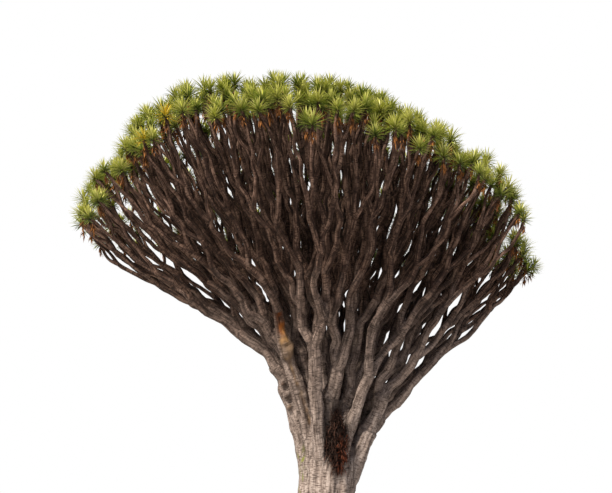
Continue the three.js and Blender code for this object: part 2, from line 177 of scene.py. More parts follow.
LONE_TIPS = [(0, 37.2, 1.03), (3, 49.9, 1.03), (12, 48, 1.0), (4, 44.5, 1.0)]  # bearing, tilt, stretch
TIP_RADIUS = 0.032
FORK_GIRTH_POWER = 0.44
LEFT_START = {"tilt": 0.15, "pull": 1.65}
RIGHT_START = {"tilt": 0.44, "pull": 1.1}
ARRIVAL = {"tilt": 0.72, "pull": 1.1}
FIRST_FORK, FORK_STEP, FORK_SCATTER = 0.21, 0.155, 0.05
BOUGH_BOW, BRANCH_BOW, PARTING = 0.035, 0.085, 1.8
LEAST_RUN, CUT_SCATTER = 0.06, 0.1
FIRST_BOUGH_ID = 16
GOLDEN_ANGLE = 180 * (3 - math.sqrt(5))


# %% Chance and directions
def chance(index, salt):
    """Seeded chance from 0 to 1. The index, which may be an array, says whose luck it is, and the
    salt, any number, keeps one kind of luck apart from another."""
    wave = np.sin(np.asarray(index) * 12.9898 + salt * 78.233) * 43758.5453
    return wave - np.floor(wave)


def scatter(index, salt, size):
    return (2 * chance(index, salt) - 1) * size


def smoothstep(low, high, value):
    share = np.clip((value - low) / (high - low), 0, 1)
    return share * share * (3 - 2 * share)


def bearing_gap(a, b):
    """Difference of two bearings, from -180 to 180."""
    return (a - b + 180) % 360 - 180


def directions(azimuth, tilt):
    """Unit vectors at bearings round the trunk and tilts from the vertical."""
    a, t = np.broadcast_arrays(np.radians(azimuth), np.radians(tilt))
    return np.stack([np.sin(t) * np.cos(a), np.sin(t) * np.sin(a), np.cos(t)], axis=-1)


def axis_at(z):
    """The trunk's axis, upright at the ground."""
    z = np.asarray(z, dtype=float)
    return np.stack([TRUNK_LEAN * (z / CROWN_CENTRE[2]) ** 2, np.zeros_like(z), z], axis=-1)


def unit(vectors):
    return vectors / np.linalg.norm(vectors, axis=-1, keepdims=True)


# %% The dome of tips
def rim_tilt(azimuth):
    aside = bearing_gap(azimuth, RIM_NOTCH_AZIMUTH) / RIM_NOTCH_WIDTH
    side = np.abs(np.cos(np.radians(azimuth))) ** RIM_SIDE_POWER
    middle = np.where(np.sin(np.radians(azimuth)) < 0, RIM_FRONT, RIM_BACK)
    return RIM_TILT * (middle + (RIM_SIDE - middle) * side - RIM_NOTCH * np.exp(-aside * aside))


def rightness(place):
    """From 0 at the left rim to 1 at the right rim."""
    return smoothstep(-RIM_TILT, RIM_TILT, place[:, 0])


def dome_points(place, stretch):
    """Points of the dome at places, which are tilts drawn out flat along their bearings."""
    tilt = np.hypot(place[:, 0], place[:, 1])
    azimuth = np.degrees(np.arctan2(place[:, 1], place[:, 0]))
    right = rightness(place)
    droop = LEFT_DROOP * (tilt / RIM_TILT / RIM_SIDE) ** LEFT_DROOP_POWER
    shortfall = RIGHT_SHORTFALL * (tilt / RIM_TILT) ** RIGHT_SHORTFALL_POWER
    reach = CROWN_REACH * (1 - shortfall * right - droop * (1 - right))
    for x, y, width, depth in CROWN_DENTS:
        away = np.hypot(place[:, 0] - x, place[:, 1] - y) / width
        reach = reach * (1 - depth * np.exp(-away * away))
    return CROWN_CENTRE + directions(azimuth, tilt) * (stretch * reach)[:, None]


def make_tips():
    """Places and stretches of all tips, spread like the seeds of a sunflower."""
    index = np.arange(TIP_CANDIDATES)
    share = (index + 0.5) / TIP_CANDIDATES
    steepest = math.radians(RIM_TILT * RIM_SIDE)
    tilt = np.degrees(np.arccos(1 - share * (1 - math.cos(steepest))))
    index = index[tilt <= rim_tilt(index * GOLDEN_ANGLE)]
    azimuth, tilt = index * GOLDEN_ANGLE, tilt[index]
    x = tilt * np.cos(np.radians(azimuth)) + scatter(index, 1, TIP_SCATTER)
    y = tilt * np.sin(np.radians(azimuth)) + scatter(index, 2, TIP_SCATTER)
    stretch = 1 + scatter(index, 3, REACH_SCATTER)
    for azimuth, tilt, longer in LONE_TIPS:
        x = np.append(x, tilt * math.cos(math.radians(azimuth)))
        y = np.append(y, tilt * math.sin(math.radians(azimuth)))
        stretch = np.append(stretch, longer)
    return np.stack([x, y], axis=-1), stretch


tip_places, tip_stretches = make_tips()
print(len(tip_places), "tips, the furthest", round(float(np.abs(tip_places).max()), 1), "degrees out")


# %% Streams and branches
def stream_points(place, stretch, run):
    """Points on the streams to some places, each at its own run from 0 in the trunk to 1 at the dome."""
    tilt = np.hypot(place[:, 0], place[:, 1])
    azimuth = np.degrees(np.arctan2(place[:, 1], place[:, 0]))
    start = axis_at(np.full(len(place), BOUGH_START_Z))
    start[:, :2] += BOUGH_START_SPREAD * place / RIM_TILT
    end = dome_points(place, stretch)
    length = np.linalg.norm(end - start, axis=1)
    side = rightness(place)
    start_tilt = (LEFT_START["tilt"] + (RIGHT_START["tilt"] - LEFT_START["tilt"]) * side) * tilt
    start_pull = (LEFT_START["pull"] + (RIGHT_START["pull"] - LEFT_START["pull"]) * side) * length
    leave = directions(azimuth, start_tilt) * start_pull[:, None]
    arrive = directions(azimuth, ARRIVAL["tilt"] * tilt) * (ARRIVAL["pull"] * length)[:, None]
    r = run[:, None]
    r2, r3 = r * r, r * r * r
    return (
        start * (2 * r3 - 3 * r2 + 1)
        + leave * (r3 - 2 * r2 + r)
        + end * (3 * r2 - 2 * r3)
        + arrive * (r3 - r2)
    )


@dataclass
class Branch:
    """Carries a set of tips from its parent's fork to its own."""

    number: int
    tips: np.ndarray
    parent: "Branch" = None
    children: list = field(default_factory=list)

    def __post_init__(self):
        self.place = tip_places[self.tips].mean(axis=0)
        self.stretch = tip_stretches[self.tips].mean()
        self.radius = TIP_RADIUS * len(self.tips) ** FORK_GIRTH_POWER
        self.start = self.parent.run if self.parent else 0
        fork = 1
        if len(self.tips) > 1:
            fork = 1 - FORK_STEP * math.log2(len(self.tips)) + scatter(self.number, 4, FORK_SCATTER)
        self.run = max(self.start + LEAST_RUN, FIRST_FORK, fork)

    def points(self, share):
        """The centre line, from 0 at the parent's fork to 1 at the branch's own."""
        before = self.parent or self
        parted = 1 - (1 - share) ** PARTING
        place = before.place + np.outer(parted, self.place - before.place)
        stretch = before.stretch + (self.stretch - before.stretch) * share
        line = stream_points(place, stretch, self.start + (self.run - self.start) * share)
        most = BRANCH_BOW if self.parent else BOUGH_BOW
        bow = most * (self.run - self.start) * CROWN_REACH * np.sin(np.pi * share)
        turn = 2 * np.pi * chance(self.number, 6)
        return line + np.outer(bow, [math.cos(turn), math.sin(turn), 0])

    def fork(self):
        """Splits the tips across the long way of their patch, and so on down to single tips."""
        if len(self.tips) == 1:
            return
        offset = tip_places[self.tips] - self.place
        xx, xy, yy = (offset[:, 0] ** 2).sum(), offset.prod(axis=1).sum(), (offset[:, 1] ** 2).sum()
        angle = 0.5 * math.atan2(2 * xy, xx - yy)
        along = tip_places[self.tips] @ np.array([math.cos(angle), math.sin(angle)])
        ordered = self.tips[np.argsort(along, kind="stable")]
        middle = math.floor(len(ordered) * (0.5 + scatter(self.number, 5, CUT_SCATTER)) + 0.5)
        cut = min(max(middle, 1), len(ordered) - 1)
        for side, part in enumerate((ordered[:cut], ordered[cut:])):
            child = Branch(2 * self.number + side, part, self)
            self.children.append(child)
            child.fork()


# %% Grow the tree
outer_azimuths = CLEFT_AZIMUTH + CLEFT_WIDTH / 2 + np.arange(OUTER_BOUGHS) * OUTER_STEP
inner_azimuths = INNER_FIRST_AZIMUTH + 360 * np.arange(INNER_BOUGHS) / INNER_BOUGHS
bough_directions = np.concatenate(
    [directions(outer_azimuths, OUTER_TILT), directions(inner_azimuths, INNER_TILT)]
)
tip_tilts = np.hypot(tip_places[:, 0], tip_places[:, 1])
tip_azimuths = np.degrees(np.arctan2(tip_places[:, 1], tip_places[:, 0]))
owners = np.argmax(directions(tip_azimuths, tip_tilts) @ bough_directions.T, axis=1)
boughs = [
    Branch(FIRST_BOUGH_ID + k, np.flatnonzero(owners == k)) for k in range(len(bough_directions))
]
for bough in boughs:
    bough.fork()


def branches_from(branch):
    """The branch and everything that grows from it."""
    return [branch] + [found for child in branch.children for found in branches_from(child)]


branches = [found for bough in boughs for found in branches_from(bough)]
print(len(boughs), "boughs,", len(branches), "branches")

# %% [markdown]
# ## Tubes along a line
# Limbs and branches are tubes. A ring of points is carried along the centre line without twisting,
# and each ring gets its own radius. Beside its place, every point keeps its place in the grain of the
# bark: two numbers that go round the limb and one that runs along it, all in metres. A pattern drawn
# on those three follows the limb and has no seam.

# %% Tube helpers
def carried_frames(line):
    """Unit side and across vectors at each point of a line, carried along it without twisting."""
    tangent = unit(np.gradient(line, axis=0))
    side = np.cross(tangent[0], [0.0, 1.0, 0.0])
    sides = []
    for direction in tangent:
        side = side - direction * (side @ direction)
        side = side / np.linalg.norm(side)
        sides.append(side)
    sides = np.array(sides)
    return sides, np.cross(tangent, sides)


def lengths_along(line):
    steps = np.linalg.norm(np.diff(line, axis=0), axis=1)
    return np.concatenate([[0], np.cumsum(steps)])


def field_noise(points, size):
    """Smooth noise of about -1 to 1 at each point, with lumps of the given size."""
    scaled = points / size
    return np.array([noise.noise(Vector(point)) for point in scaled])


def keep_grain(mesh, grain):
    layer = mesh.attributes.new("grain", "FLOAT_VECTOR", "POINT")
    layer.data.foreach_set("vector", np.asarray(grain, dtype=np.float32).ravel())


def make_piece(name, vertices, face_groups, material, grain, smooth=True):
    """A mesh object from arrays of vertices and of faces with three or four corners."""
    mesh = bpy.data.meshes.new(name)
    corners = np.concatenate([group.ravel() for group in face_groups])
    sizes = np.concatenate([np.full(len(group), group.shape[1]) for group in face_groups])
    mesh.vertices.add(len(vertices))
    mesh.vertices.foreach_set("co", np.asarray(vertices, dtype=np.float32).ravel())
    mesh.loops.add(len(corners))
    mesh.loops.foreach_set("vertex_index", corners.astype(np.int32))
    mesh.polygons.add(len(sizes))
    mesh.polygons.foreach_set("loop_start", (np.cumsum(sizes) - sizes).astype(np.int32))
    mesh.polygons.foreach_set("use_smooth", np.full(len(sizes), smooth))
    mesh.update(calc_edges=True)
    keep_grain(mesh, grain)
    mesh.materials.append(material)
    piece = bpy.data.objects.new(name, mesh)
    bpy.context.collection.objects.link(piece)
    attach(piece, "root")
    print(name, int((sizes - 2).sum()), "triangles")
    return piece


# %% [markdown]
# ## Bark
# Dragon tree bark is a pale mottled skin with a few long furrows, short cross dashes left by old
# leaves, and cracks between plates. Under the crown it turns dark brown, partly its own colour and
# partly painted shade. The furrows are noise that is drawn out along the grain, the dashes are small
# noise pressed flat along it, and the cracks are the borders of stretched cells. All of them move the
# colour and the bump together, so the hollows are darker, partly the bark's own colour and partly
# painted shade. Stains that have a place, such as moss or bare wood, and the painted shade between
# boughs and in the cleft come from an attribute of the mesh.

# %% Sizes of the bark's patterns, in metres
MOTTLES = {"stretch": (1, 1, 0.5), "size": 0.1, "detail": 5}
FURROWS = {"stretch": (1, 1, 0.1), "size": 0.045, "detail": 4}
DASHES = {"stretch": (0.22, 0.22, 1), "size": 0.02, "detail": 2}
PATCHES = {"stretch": (1, 1, 0.6), "size": 0.35, "detail": 3}
PATTERN_ROUGHNESS = 0.62
PLATE_WIDTH, PLATE_STRETCH, CRACK_SHARE = 0.1, (1, 1, 0.1), 0.1
PALE_BELOW, DARK_ABOVE = 2.3, 5.8  # heights between which the bark turns from pale to dark, partly its own colour and partly painted shade under the crown
PATCH_SWAY = 2.0  # how far patches move that height up and down in all
BARK_LEVELS = (0.2, 0.42, 0.6)  # relief at which the dark, middle and pale colours lie
BUMP_STRENGTH = 0.8
BARK_ROUGHNESS, BARK_SHINE = 0.85, 0.25  # dry and fibrous, so almost without shine


def stretched_noise(tree, grain, stretch, size, detail):
    """Noise with lumps of a size in metres, drawn out or pressed flat along the grain."""
    drawn = add(tree, "ShaderNodeVectorMath", {0: grain, 1: stretch}, operation="MULTIPLY")
    inputs = {"Vector": drawn.outputs[0], "Scale": 1 / size}
    inputs |= {"Detail": detail, "Roughness": PATTERN_ROUGHNESS}
    return add(tree, "ShaderNodeTexNoise", inputs).outputs["Fac"]


def bark_relief(tree, grain, dash_depth):
    """Relief of the bark: the product of its mottles, furrows, plates and dashes."""
    drawn = add(tree, "ShaderNodeVectorMath", {0: grain, 1: PLATE_STRETCH}, operation="MULTIPLY")
    inputs = {"Vector": drawn.outputs[0], "Scale": 1 / PLATE_WIDTH}
    cells = add(tree, "ShaderNodeTexVoronoi", inputs, feature="DISTANCE_TO_EDGE")
    layers = [  # each pattern, the range of it that counts, and the shades it is brought to
        (stretched_noise(tree, grain, **MOTTLES), (0.3, 0.7), (0.38, 0.68)),
        (stretched_noise(tree, grain, **FURROWS), (0.34, 0.5), (0.55, 1)),
        (cells.outputs["Distance"], (0, CRACK_SHARE), (0.8, 1)),
        (stretched_noise(tree, grain, **DASHES), (0.5, 0.66), (1, 1 - dash_depth)),
    ]
    relief = 1.0
    for pattern, (low, high), (to_low, to_high) in layers:
        inputs = {"Value": pattern, "From Min": low, "From Max": high, "To Min": to_low, "To Max": to_high}
        shade = add(tree, "ShaderNodeMapRange", inputs).outputs["Result"]
        relief = add(tree, "ShaderNodeMath", {0: relief, 1: shade}, operation="MULTIPLY").outputs[0]
    return relief


# %% Bark material
def bark_material(name, low_colours, high_colours, furrow_depth, dash_depth, stained_and_shaded=False):
    """Bark with dark, middle and pale colours, one set low on the tree and one high up. Where the high set
    is darker, it is partly painted shade under the crown.
    """
    material, tree, shader = new_material(name)
    grain = add(tree, "ShaderNodeAttribute", attribute_name="grain").outputs["Vector"]
    relief = bark_relief(tree, grain, dash_depth)
    barks = []
    # Low relief gets the dark colour, which in the furrows and cracks is partly painted shade
    for colours in (low_colours, high_colours):
        ramp = add(tree, "ShaderNodeValToRGB", {"Fac": relief})
        stops = ramp.color_ramp.elements
        stops.new(BARK_LEVELS[1])
        for stop, level, colour in zip(stops, BARK_LEVELS, colours):
            stop.position = level
            stop.color = linear(colour)
        barks.append(ramp.outputs["Color"])
    place = add(tree, "ShaderNodeTexCoord").outputs["Object"]
    z = add(tree, "ShaderNodeSeparateXYZ", {0: place}).outputs["Z"]
    patches = stretched_noise(tree, grain, **PATCHES)
    ragged = add(tree, "ShaderNodeMath", {0: patches, 1: PATCH_SWAY, 2: z}, operation="MULTIPLY_ADD")
    low, high = PALE_BELOW + PATCH_SWAY / 2, DARK_ABOVE + PATCH_SWAY / 2
    inputs = {"Value": ragged.outputs[0], "From Min": low, "From Max": high}
    share = add(tree, "ShaderNodeMapRange", inputs).outputs["Result"]
    inputs = {"Factor": share, "A": barks[0], "B": barks[1]}
    colour = add(tree, "ShaderNodeMix", inputs, data_type="RGBA").outputs["Result"]
    if stained_and_shaded:
        stain_and_shade = add(tree, "ShaderNodeAttribute", attribute_name="stain_and_shade")
        inputs = {"Factor": stain_and_shade.outputs["Alpha"], "A": colour, "B": stain_and_shade.outputs["Color"]}
        colour = add(tree, "ShaderNodeMix", inputs, data_type="RGBA").outputs["Result"]
    inputs = {"Height": relief, "Strength": BUMP_STRENGTH, "Distance": furrow_depth}
    bump = add(tree, "ShaderNodeBump", inputs)
    tree.links.new(colour, shader.inputs["Base Color"])
    tree.links.new(bump.outputs["Normal"], shader.inputs["Normal"])
    shader.inputs["Roughness"].default_value = BARK_ROUGHNESS
    shader.inputs["Specular IOR Level"].default_value = BARK_SHINE
    print(material.name, "with", len(tree.nodes), "nodes")
    return material


# The brown and young barks of the crown are dark partly by their own colour and partly as painted shade
PALE_BARK = ("#4c413d", "#91837d", "#b7aaa5")  # dark, middle and pale
BROWN_BARK = ("#1a110e", "#402e27", "#7c6458")
YOUNG_BARK = ("#1d1310", "#46332b", "#866c60")
# Old bark is deeply furrowed and ringed, and the younger it is the less deep both are
trunk_bark = bark_material("weathered_trunk_bark", PALE_BARK, BROWN_BARK, 0.03, 0.5, stained_and_shaded=True)
branch_bark = bark_material("brown_branch_bark", PALE_BARK, BROWN_BARK, 0.02, 0.4)
twig_bark = bark_material("young_branch_bark", YOUNG_BARK, YOUNG_BARK, 0.01, 0.3)

# %% [markdown]
# ## Trunk and boughs
# Trunk, boughs and first forks are one body of wood, with soft valleys where limbs meet. Each limb is
# first a ring of points, extruded step by step along its line, and a ball fills the wedge at each fork.
# All of them overlap in one mesh, and a voxel remesh melts them into a single skin. A little smoothing
# rounds the valleys. Then every point of the skin is moved in or out by the bark's relief, along the
# grain of the limb it belongs to.

# %% Trunk radius
CLEFT_FOOT, CLEFT_CUT, CLEFT_CUT_ANGLE = 1.9, 0.3, 15
CROTCH_START, CROTCH_TOP, CROTCH_SHARE = 2.1, 3.0, 0.35
FLARE_SHARE = 0.35  # the boughs themselves widen the top, so the trunk takes only this share of its flare


def trunk_radius(z, azimuth):
    """The solid's radius, with the cleft cut deeper and the top closed to a crotch between the boughs."""
    foot = 1 + ROOT_FLARE * np.exp(-z / ROOT_FLARE_HEIGHT)
    rise = smoothstep(FORK_FLARE_START, TRUNK_TOP, z)
    flute = FLUTE_DEPTH * np.cos(2 * np.pi * (azimuth - outer_azimuths[0]) / OUTER_STEP)
    aside = bearing_gap(azimuth, CLEFT_AZIMUTH)
    cleft = CLEFT_DEPTH * np.exp(-((aside / CLEFT_HALF_ANGLE) ** 2)) * rise
    cut = CLEFT_CUT * np.exp(-((aside / CLEFT_CUT_ANGLE) ** 2)) * smoothstep(CLEFT_FOOT, TRUNK_TOP, z)
    close = 1 - (1 - CROTCH_SHARE) * smoothstep(CROTCH_START, CROTCH_TOP, z)
    flare = FLARE_SHARE * FORK_FLARE * rise
    return (TRUNK_RADIUS * foot + flare) * (1 + flute) * (1 - cleft - cut) * close


# %% Limbs by extrusion
def add_limb(bm, line, radius_at, sides):
    """Extrudes a closed ring along a line. radius_at gives a radius for each turn of each ring."""
    side, across = carried_frames(line)
    turns = 2 * np.pi * np.arange(sides) / sides
    ring = bmesh.ops.create_circle(bm, segments=sides, radius=1, cap_ends=True)["verts"]
    ring_edges = list({edge for vertex in ring for edge in vertex.link_edges})
    for step in range(len(line)):
        if step:
            grown = bmesh.ops.extrude_edge_only(bm, edges=ring_edges)["geom"]
            ring = [part for part in grown if isinstance(part, bmesh.types.BMVert)]
            ring_edges = [edge for edge in grown if isinstance(edge, bmesh.types.BMEdge)]
            inside = set(ring)
            ring_edges = [edge for edge in ring_edges if inside.issuperset(edge.verts)]
        for vertex, turn, radius in zip(ring, turns, radius_at(step, turns)):
            spoke = side[step] * math.cos(turn) + across[step] * math.sin(turn)
            vertex.co = Vector(line[step] + spoke * radius)
    bmesh.ops.contextual_create(bm, geom=ring_edges)


WANDER, WANDER_SIZE = 0.09, 0.38
FEWEST_STEPS = 4
AXIS_SHIFT = 7  # sets the noise of the three axes apart


def limb_line(branch, spacing):
    """Shares and points along a branch. Beyond the first forks it wanders a little from its stream."""
    steps = max(FEWEST_STEPS, round((branch.run - branch.start) * CROWN_REACH / spacing))
    share = np.linspace(0, 1, steps + 1)
    line = branch.points(share)
    if branch.parent and branch.parent.parent:
        seed = line + branch.number
        drift = [field_noise(seed + AXIS_SHIFT * axis, WANDER_SIZE) for axis in range(3)]
        line = line + WANDER * np.sin(np.pi * share)[:, None] * np.stack(drift, axis=-1)
    return share, line


# %% Trunk of the skin
TRUNK_RINGS, TRUNK_SIDES = 24, 96

limbs = []  # centre line, radii and bough of every limb in the skin, for the grain
skin = bmesh.new()
trunk_line = axis_at(np.linspace(0, CROTCH_TOP, TRUNK_RINGS))
limbs.append((trunk_line, np.full(len(trunk_line), TRUNK_RADIUS), None))
add_limb(
    skin,
    trunk_line,
    lambda step, turns: trunk_radius(trunk_line[step, 2], np.degrees(-turns)),
    TRUNK_SIDES,
)
print("trunk of", len(skin.faces), "faces")

# %% Ridged limbs
LIMB_SIDES, LIMB_SPACING = 20, 0.14
RIDGES, RIDGE_DEPTH, RIDGE_TWIST = 3, 0.075, 1.6
FINE_RIDGES, FINE_DEPTH, FINE_TWIST = 5, 0.6, 0.7  # the last two as shares of the main ridges'
RIDGE_TURN = 6  # radians: the ridges of each limb start anywhere round it


def add_ridged_limb(line, radii, branch):
    """A limb with a few rounded ridges that wind slowly along it."""
    along = lengths_along(line)
    number = branch.number
    bough = branch
    while bough.parent:
        bough = bough.parent
    limbs.append((line, radii, bough.number))

    def radius_at(step, turns):
        twist = RIDGE_TWIST * along[step]
        ridge = np.cos(RIDGES * turns + twist + RIDGE_TURN * chance(number, 41))
        fine = np.cos(FINE_RIDGES * turns - FINE_TWIST * twist + RIDGE_TURN * chance(number, 42))
        return radii[step] * (1 + RIDGE_DEPTH * (ridge + FINE_DEPTH * fine))

    add_limb(skin, line, radius_at, LIMB_SIDES)


# %% Boughs and forks of the skin
ROOT_GIRTH, ROOT_RUN = 0.95, 0.5  # a forked limb starts with this share of its parent's girth
SINK_SHARE, SINK_RADIUS = 0.5, 0.8  # second forks end inside the branch tubes that go on from them
FORK_BALL = 1.03

first_forks = [child for bough in boughs for child in bough.children]
second_forks = [child for branch in first_forks for child in branch.children]
for branch in boughs + first_forks:
    share, line = limb_line(branch, LIMB_SPACING)
    if branch.parent:
        blend = 1 - smoothstep(0, ROOT_RUN, share)
        radii = branch.radius + (ROOT_GIRTH * branch.parent.radius - branch.radius) * blend
    else:
        radii = branch.radius * (1 + BOUGH_SWELL * (1 - share) ** 2)
    add_ridged_limb(line, radii, branch)
for branch in second_forks:
    share, line = limb_line(branch, LIMB_SPACING / 2)
    kept = share <= SINK_SHARE
    sink = share[kept] / SINK_SHARE
    radii = ROOT_GIRTH * branch.parent.radius * (1 - sink) + SINK_RADIUS * branch.radius * sink
    add_ridged_limb(line[kept], radii, branch)
for branch in boughs + first_forks:
    fork_point = branch.points(np.ones(1))[0]
    bmesh.ops.create_icosphere(
        skin,
        subdivisions=3,
        radius=FORK_BALL * branch.radius,
        matrix=Matrix.Translation(fork_point),
    )
bmesh.ops.recalc_face_normals(skin, faces=skin.faces)
print(len(limbs), "limbs of", len(skin.faces), "faces")

# %% Melt the limbs into one skin
VOXEL = 0.03

rough_mesh = bpy.data.meshes.new("rough_skin")
skin.to_mesh(rough_mesh)
skin.free()
rough = bpy.data.objects.new("rough_skin", rough_mesh)
bpy.context.collection.objects.link(rough)
remesh = rough.modifiers.new("melt", "REMESH")
remesh.mode = "VOXEL"
remesh.voxel_size = VOXEL
depsgraph = bpy.context.evaluated_depsgraph_get()
skin_mesh = bpy.data.meshes.new_from_object(rough.evaluated_get(depsgraph))
bpy.data.objects.remove(rough)
print("skin", len(skin_mesh.polygons), "faces")

# %% Smooth the skin
SMOOTH_PASSES = 2

smoothed = bmesh.new()
smoothed.from_mesh(skin_mesh)
for _ in range(SMOOTH_PASSES):
    bmesh.ops.smooth_vert(
        smoothed, verts=smoothed.verts, factor=0.5, use_axis_x=True, use_axis_y=True, use_axis_z=True
    )
smoothed.to_mesh(skin_mesh)
smoothed.free()
skin_mesh.materials.clear()
skin_mesh.materials.append(trunk_bark)
trunk_piece = bpy.data.objects.new("trunk_and_boughs", skin_mesh)
bpy.context.collection.objects.link(trunk_piece)
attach(trunk_piece, "root")
bough_nodes = [name for name in frame["nodes"] if "bough" in name]
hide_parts("trunk", *bough_nodes)
print(trunk_piece.name, "in place of the trunk and", len(bough_nodes), "boughs")

# %% Grain of the skin
DENSER = 4  # points of a centre line for each ring of its limb
GRAIN_MARGIN = 0.6  # the skin of a limb lies no further than this from its centre line's box
LIMB_SHIFT = 3  # sets the grain of each limb apart from the next one's


def skin_grain(points):
    """The place of each point in the grain of its limb, and how much further off the next bough is."""
    nearest = np.full(len(points), np.inf)
    grain = np.zeros((len(points), 3))
    bough_gaps = {}
    for index, (line, radii, bough) in enumerate(limbs):
        dense = np.linspace(0, len(line) - 1, DENSER * len(line))
        count = np.arange(len(line))
        centre = np.stack([np.interp(dense, count, line[:, axis]) for axis in range(3)], axis=-1)
        radius = np.interp(dense, count, radii)
        along = lengths_along(centre)
        side, across = carried_frames(centre)
        low, high = centre.min(axis=0) - GRAIN_MARGIN, centre.max(axis=0) + GRAIN_MARGIN
        close = np.flatnonzero(np.all((points > low) & (points < high), axis=1))
        away = np.linalg.norm(points[close, None] - centre[None], axis=2)
        best = np.argmin(away - radius, axis=1)
        gap = away[np.arange(len(close)), best] - radius[best]
        mine = gap < nearest[close]
        if bough:
            gaps = bough_gaps.setdefault(bough, np.full(len(points), np.inf))
            gaps[close] = np.minimum(gaps[close], gap)
        chosen, best = close[mine], best[mine]
        nearest[chosen] = gap[mine]
        spoke = points[chosen] - centre[best]
        round_limb = np.stack(
            [(spoke * side[best]).sum(axis=1), (spoke * across[best]).sum(axis=1)], axis=-1
        )
        round_limb = unit(round_limb) * radius[best, None]
        lift = (spoke * np.cross(side[best], across[best])).sum(axis=1)
        grain[chosen, :2] = round_limb + LIMB_SHIFT * index
        grain[chosen, 2] = along[best] + lift
    ordered = np.sort(np.stack(list(bough_gaps.values())), axis=0)
    return grain, np.nan_to_num(ordered[1] - ordered[0], nan=np.inf)


def read_vectors(mesh, key):
    values = np.empty(len(mesh.vertices) * 3)
    mesh.vertices.foreach_get(key, values)
    return values.reshape(-1, 3)


co = read_vectors(skin_mesh, "co")
normals = read_vectors(skin_mesh, "normal")
grain, next_bough = skin_grain(co)
keep_grain(skin_mesh, grain)
print("grain on", len(co), "points")

# %% [markdown]
# ## Scars, stains and painted shade
# The limbs have a history: a burl with a hole, a cavity where a limb broke out, a long strip of bare
# wood and torn bark below it, a dark cleft full of litter, and some moss on the trunk. Each scar is
# placed where a line of sight through a pixel of the photograph meets the skin. It pushes the skin in
# or out and dyes it, and the strength of both fades with the distance from that point. The holes are
# dyed near black as painted shade. The painted shade in the cleft and the moss are placed by height and
# by bearing round the trunk, and the painted shade in the valleys between boughs by height and by the
# gap to the next bough.

# %% Places of the scars
SCARS = [  # pixel, reach in metres, push in metres, colour, strength
    ((289, 349), 0.13, 0.13, "#86705c", 0.7),
    # near-black painted shade inside the burl's hole
    ((291, 350), 0.045, -0.14, "#17100c", 1.0),
    ((284, 340), 0.09, 0.05, "#b08a5c", 0.7),
    ((282, 328), 0.1, -0.04, "#a8642c", 0.9),
    ((279, 316), 0.1, -0.07, "#6e3b1a", 0.9),
    # the next two: near-black painted shade inside holes in the cavity
    ((277, 309), 0.07, -0.1, "#1b110b", 1.0),
    ((281, 320), 0.035, -0.06, "#1b110b", 1.0),
    ((284, 331), 0.04, 0.0, "#c48a48", 0.8),
    ((284, 383), 0.045, 0.13, "#5a453a", 0.7),
    ((287, 396), 0.045, 0.12, "#4e3c32", 0.7),
    ((290, 407), 0.045, 0.1, "#86705e", 0.6),
]
STRIP_TOP, STRIP_FOOT, STRIP_SPOTS = (288, 358), (311, 424), 14  # bare wood down the second limb
STRIP_SWAY = 1.5  # pixels
STRIP_REACH, STRIP_PUSH, STRIP_STRENGTH = 0.05, -0.03, 0.65
STRIP_WOODS = ("#96795c", "#3c2a20", "#a98e70", "#5c4534", "#8a6a4a")
for spot in range(STRIP_SPOTS):
    share = spot / (STRIP_SPOTS - 1)
    sway = scatter(spot, 61, STRIP_SWAY)
    pixel = tuple(a + (b - a) * share + sway for a, b in zip(STRIP_TOP, STRIP_FOOT))
    wood = STRIP_WOODS[spot % len(STRIP_WOODS)]
    SCARS.append((pixel, STRIP_REACH, STRIP_PUSH, wood, STRIP_STRENGTH))
print(len(SCARS), "scars")

# %% Relief of the bark, in metres
GROOVE_STRETCH, GROOVE_SIZE, GROOVE_DEPTH, GROOVE_LEVEL = [1, 1, 0.16], 0.1, 0.05, 0.25
LUMP_STRETCH, LUMP_SIZE, LUMP_DEPTH = [1, 1, 0.6], 0.28, 0.026
KNOT_SIZE, KNOT_DEPTH = 0.11, 0.014
VALLEY_WIDTH, VALLEY_DEPTH, VALLEY_RISE = 0.03, 0.03, (1.9, 2.4)

height = co[:, 2]
groove = np.abs(field_noise(grain * GROOVE_STRETCH, GROOVE_SIZE))
lump = field_noise(grain * LUMP_STRETCH, LUMP_SIZE)
knot = field_noise(grain, KNOT_SIZE)
valley = np.exp(-((next_bough / VALLEY_WIDTH) ** 2)) * smoothstep(*VALLEY_RISE, height)
relief = GROOVE_DEPTH * (groove - GROOVE_LEVEL) + LUMP_DEPTH * lump
relief = relief + KNOT_DEPTH * knot - VALLEY_DEPTH * valley
print("relief from", round(float(relief.min()), 3), "to", round(float(relief.max()), 3), "m")

# %% Painted shade and moss
CLEFT_SHADE_ANGLE, CLEFT_SHADE_RISE = 17, (1.85, 2.3)
CLEFT_SHADE_TOP, CLEFT_SHADE_EDGE = (3.1, 3.6), (0.6, 0.85)
MOSS_SIDE, MOSS_RISE, MOSS_TOP, MOSS_PATCHES = (0.35, 0.5), (1.3, 1.7), (2.3, 2.7), (-0.1, 0.4)
ROUGH_STRETCH, ROUGH_SIZE = [1, 1, 0.4], 0.06
VALLEY_PAINTED_SHADE, CLEFT_PAINTED_SHADE, MOSS_DYE = 0.75, 1.1, 0.8  # strengths of the painted shade in the valleys and in the cleft, and of the moss
STAIN_AND_SHADE_SHOWS = 0.3  # strength from which stains and painted shade show

stain_and_shade = np.zeros((len(co), 4))


def lay_stain_and_shade(colour, strength):
    """Lays a colour over the stains and painted shade laid before, as strongly as each point asks for."""
    strength = np.clip(strength, 0, 1)[:, None]
    stain_and_shade[:, :3] = stain_and_shade[:, :3] * (1 - strength) + np.array(linear(colour)[:3]) * strength
    stain_and_shade[:, 3:] = 1 - (1 - stain_and_shade[:, 3:]) * (1 - strength)


